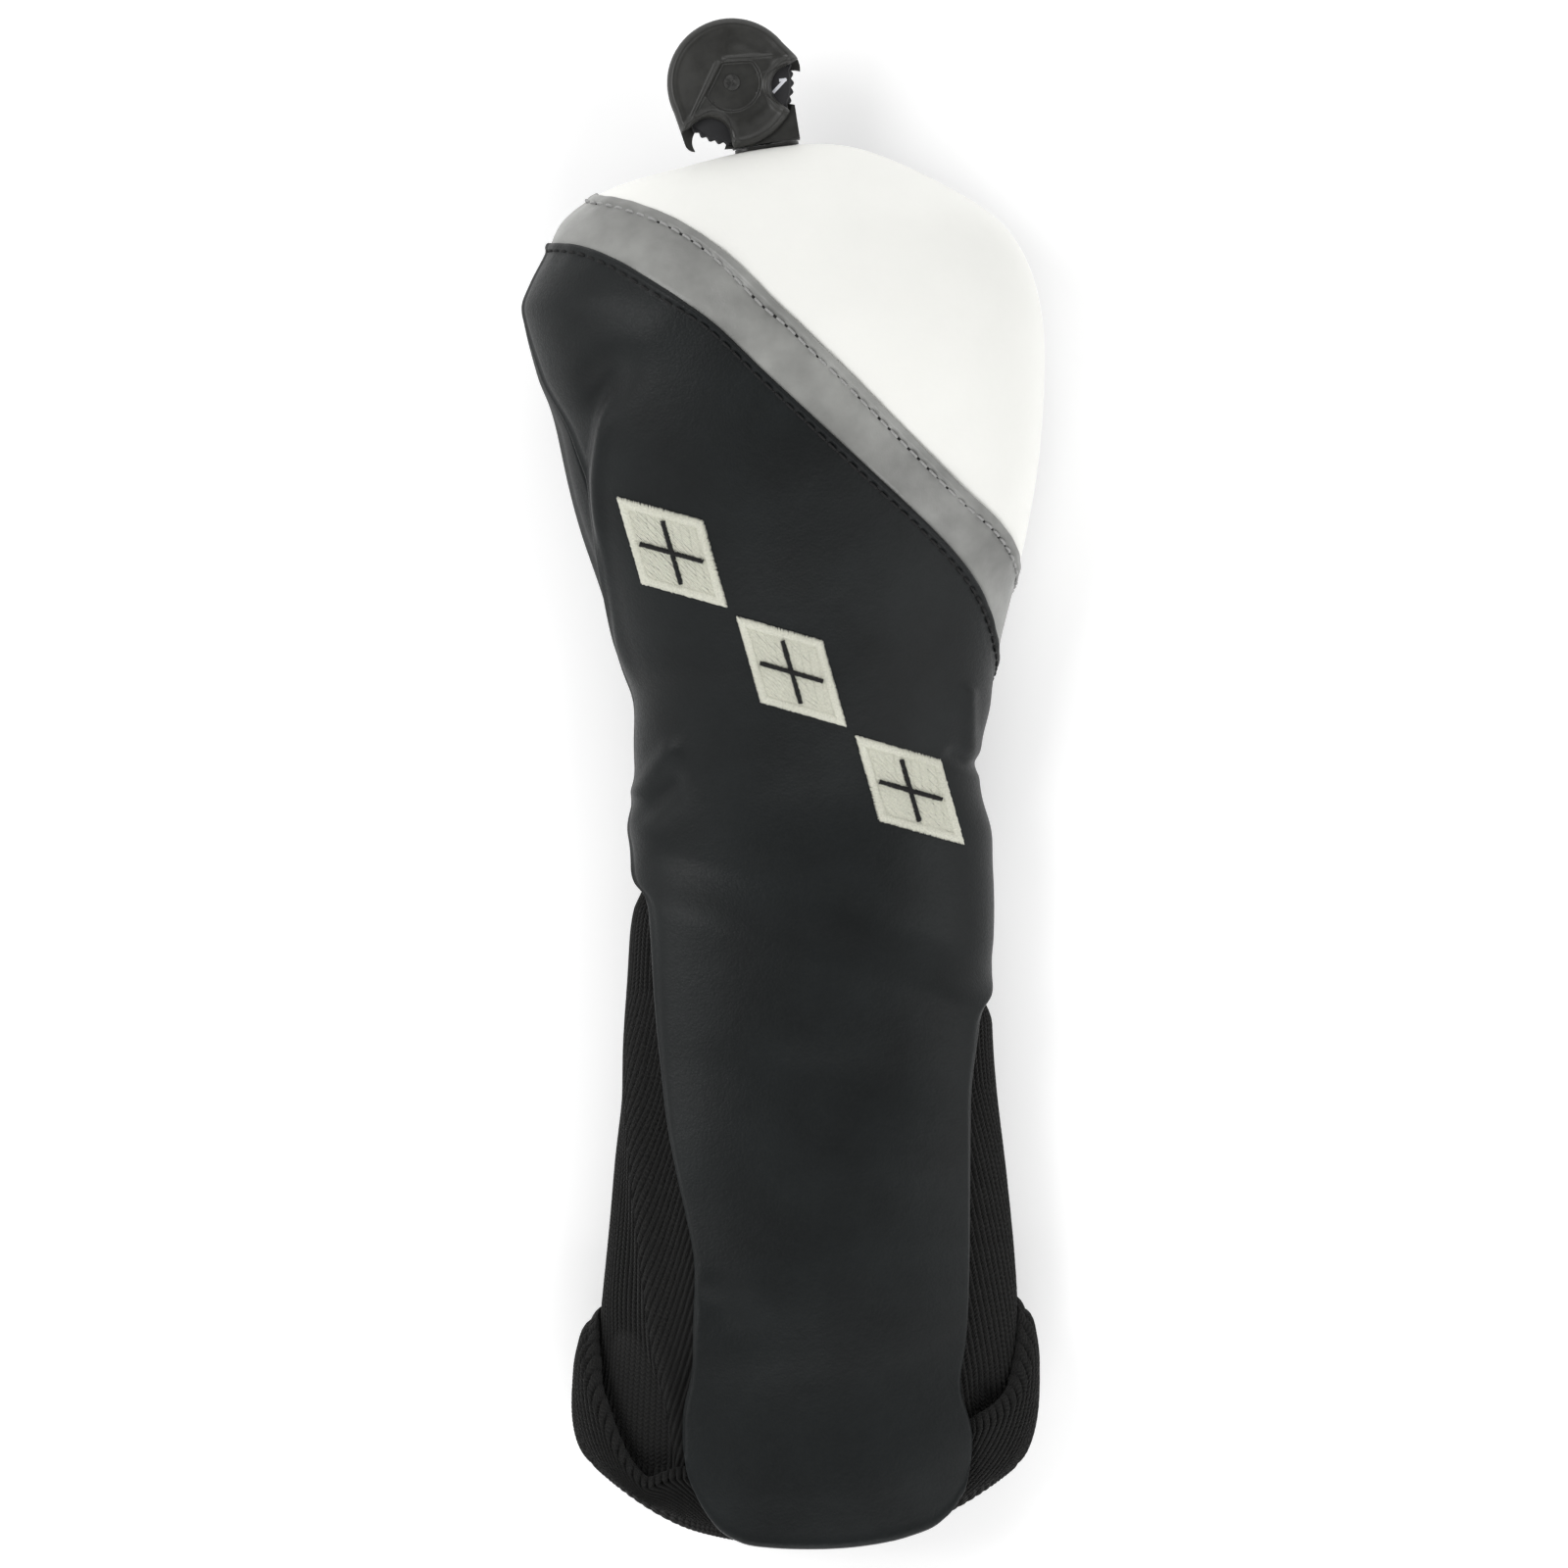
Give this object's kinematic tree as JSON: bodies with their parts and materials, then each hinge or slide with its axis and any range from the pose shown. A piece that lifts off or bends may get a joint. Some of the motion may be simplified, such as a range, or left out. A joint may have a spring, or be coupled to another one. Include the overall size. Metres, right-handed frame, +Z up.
{
  "type": "golf driver head cover",
  "caption": "Padded golf driver head cover with a diagonal band, long tongue, ribbed knit sock, embroidered diamonds and a swivelling number tag.",
  "frame": {"origin": "on the table under the middle of the cover, which lies on its back with its front up", "axes": "+Z up out of the front, +Y from the knit mouth to the crown and tag, +X to the right seen from the front"},
  "size_m": [0.1373, 0.4032, 0.0789],
  "materials": {
    "leather_black": "charcoal synthetic leather, fine grain, satin",
    "leather_grey": "mid grey synthetic leather, satin sheen",
    "leather_white": "off-white synthetic leather, satin",
    "plush": "short pile plush",
    "foam": "open cell foam laminate",
    "elastic": "woven elastic tape",
    "knit": "ribbed acrylic knit, matt",
    "thread_grey": "polyester sewing thread",
    "thread_black": "polyester sewing thread",
    "thread_pale": "silver-ivory embroidery thread with a sheen",
    "tag_plastic": "black moulded plastic, satin",
    "dial_plastic": "black moulded plastic, fine matt",
    "digit_ink": "white printed ink",
    "steel": "dark nickel plated steel"
  },
  "bodies": {
    "cover": {"front_panel": "leather_black", "accent_band": "leather_grey", "crown_panel": "leather_white", "back_panel": "leather_black", "tongue_backing": "plush", "padding_front": "foam", "padding_back": "foam", "lining_front": "plush", "lining_back": "plush", "waist_elastic": "elastic", "knit_sock": "knit", "band_stitching": "thread_grey", "panel_stitching": "thread_black", "emblem_borders": "thread_pale", "emblem_fills": "thread_pale", "emblem_crosses": "thread_black", "base_plate": "tag_plastic", "base_washer": "tag_plastic"},
    "tag": {"tag_rear_shell": "tag_plastic", "tag_front_shell": "tag_plastic", "shoulder_screw": "steel", "pivot_rivet": "steel", "rivet_cap": "steel"},
    "dial": {"number_dial": "dial_plastic", "dial_digits": "digit_ink"}
  },
  "joints": [
    {"name": "tag_swivel", "type": "hinge", "parent": "cover", "child": "tag", "pos_m": [-0.0045, 0.168, 0.038], "axis": [-0.1564, 0.9877, 0], "continuous": true},
    {"name": "dial_spin", "type": "hinge", "parent": "tag", "child": "dial", "pos_m": [-0.01376, 0.18491, 0.0414], "axis": [0, 0, 1], "continuous": true}
  ]
}
